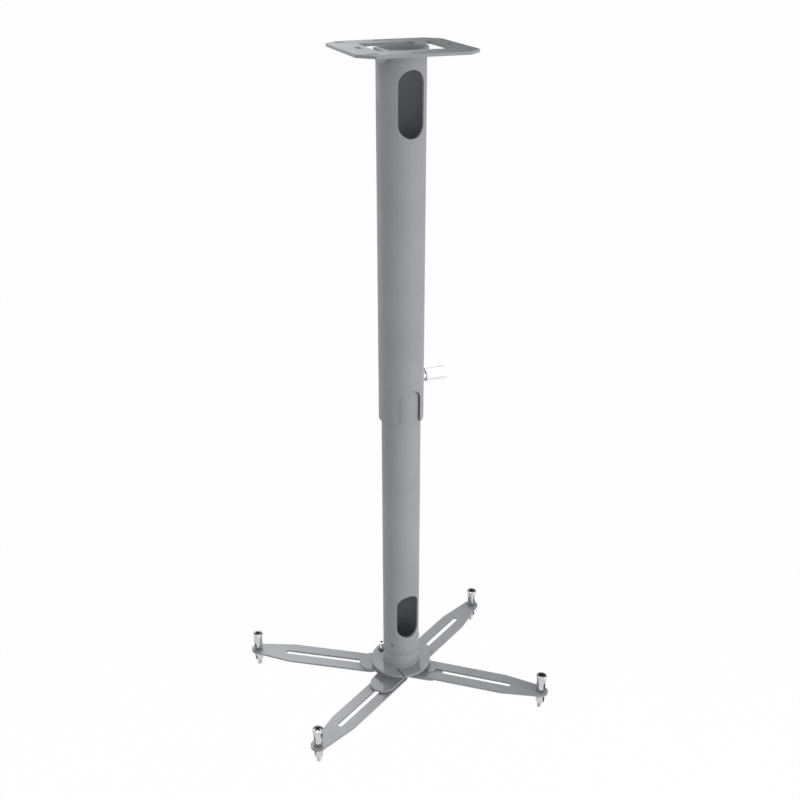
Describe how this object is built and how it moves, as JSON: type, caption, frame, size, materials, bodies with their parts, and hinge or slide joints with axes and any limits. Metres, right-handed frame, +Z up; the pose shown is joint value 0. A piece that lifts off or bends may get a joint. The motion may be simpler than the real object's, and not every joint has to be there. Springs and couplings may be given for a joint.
{
  "type": "projector ceiling mount",
  "caption": "Telescopic drop tube under a square ceiling plate, with a clamp knob, cable slots and a tilting head whose slotted arms carry sleeved screws for a projector.",
  "frame": {"origin": "centre of the ceiling plate's top face, on the tube's axis", "axes": "+Z up towards the ceiling, +X towards the clamp knob, -Y the side the cable slots face"},
  "size_m": [0.3226, 0.2233, 0.7796],
  "materials": {
    "coat": "satin silver-grey powder coat",
    "chrome": "bright chrome plate",
    "steel": "zinc-plated steel",
    "alloy": "satin silver-grey coat on die-cast alloy",
    "plastic": "black acetal"
  },
  "bodies": {
    "ceiling": {"ceiling_plate": "coat", "outer_tube": "coat", "clamp_insert": "steel", "guide_liner": "plastic"},
    "clamp": {"clamp_screw": "steel", "clamp_knob": "chrome"},
    "guide": {"guide_ring": "plastic"},
    "drop": {"inner_tube": "coat", "foot_plug": "alloy", "plug_rivets": "coat", "pivot_disc": "coat", "tilt_screws": "chrome", "tilt_lock_nuts": "steel"},
    "seat": {"ball_seat": "plastic"},
    "head": {"ball_stud": "steel", "arm_carrier": "coat", "press_nuts": "steel", "arm_spacers": "steel"},
    "ne_pivot": {"ne_bolt": "steel"},
    "ne_arm_set": {"ne_arm": "coat", "ne_upper_sleeve": "chrome", "ne_lower_sleeve": "chrome", "ne_tip_screw": "chrome"},
    "nw_pivot": {"nw_bolt": "steel"},
    "nw_arm_set": {"nw_arm": "coat", "nw_upper_sleeve": "chrome", "nw_lower_sleeve": "chrome", "nw_tip_screw": "chrome"},
    "sw_pivot": {"sw_bolt": "steel"},
    "sw_arm_set": {"sw_arm": "coat", "sw_upper_sleeve": "chrome", "sw_lower_sleeve": "chrome", "sw_tip_screw": "chrome"},
    "se_pivot": {"se_bolt": "steel"},
    "se_arm_set": {"se_arm": "coat", "se_upper_sleeve": "chrome", "se_lower_sleeve": "chrome", "se_tip_screw": "chrome"}
  },
  "joints": [
    {"name": "clamp_turn", "type": "hinge", "parent": "ceiling", "child": "clamp", "pos_m": [0.04, 0, -0.3485], "axis": [1, 0, 0], "range_deg": [-360, 0]},
    {"name": "tube_slide", "type": "slide", "parent": "ceiling", "child": "guide", "axis": [0, 0, 1], "range_m": [-0.004, 0.2]},
    {"name": "tube_swivel", "type": "hinge", "parent": "guide", "child": "drop", "pos_m": [0, 0, -0.3], "axis": [0, 0, 1], "range_deg": [-180, 180]},
    {"name": "head_tilt", "type": "hinge", "parent": "drop", "child": "seat", "pos_m": [0, 0, -0.73], "axis": [1, 0, 0], "range_deg": [-7, 7]},
    {"name": "head_roll", "type": "hinge", "parent": "seat", "child": "head", "pos_m": [0, 0, -0.73], "axis": [0, 1, 0], "range_deg": [-7, 7]},
    {"name": "ne_swing", "type": "hinge", "parent": "head", "child": "ne_pivot", "pos_m": [0.03132, 0.02152, -0.753], "axis": [0, 0, 1], "range_deg": [-15, 15]},
    {"name": "ne_reach", "type": "slide", "parent": "ne_pivot", "child": "ne_arm_set", "axis": [0.8358, 0.549, 0], "range_m": [-0.0014, 0.016]},
    {"name": "nw_swing", "type": "hinge", "parent": "head", "child": "nw_pivot", "pos_m": [-0.03132, 0.02152, -0.753], "axis": [0, 0, 1], "range_deg": [-15, 15]},
    {"name": "nw_reach", "type": "slide", "parent": "nw_pivot", "child": "nw_arm_set", "axis": [-0.8554, 0.518, 0], "range_m": [-0.017, 0.0004]},
    {"name": "sw_swing", "type": "hinge", "parent": "head", "child": "sw_pivot", "pos_m": [-0.03132, -0.02152, -0.753], "axis": [0, 0, 1], "range_deg": [-15, 15]},
    {"name": "sw_reach", "type": "slide", "parent": "sw_pivot", "child": "sw_arm_set", "axis": [-0.8372, -0.5468, 0], "range_m": [-0.0014, 0.016]},
    {"name": "se_swing", "type": "hinge", "parent": "head", "child": "se_pivot", "pos_m": [0.03132, -0.02152, -0.753], "axis": [0, 0, 1], "range_deg": [-15, 15]},
    {"name": "se_reach", "type": "slide", "parent": "se_pivot", "child": "se_arm_set", "axis": [0.8018, -0.5976, 0], "range_m": [-0.006, 0.011]}
  ]
}
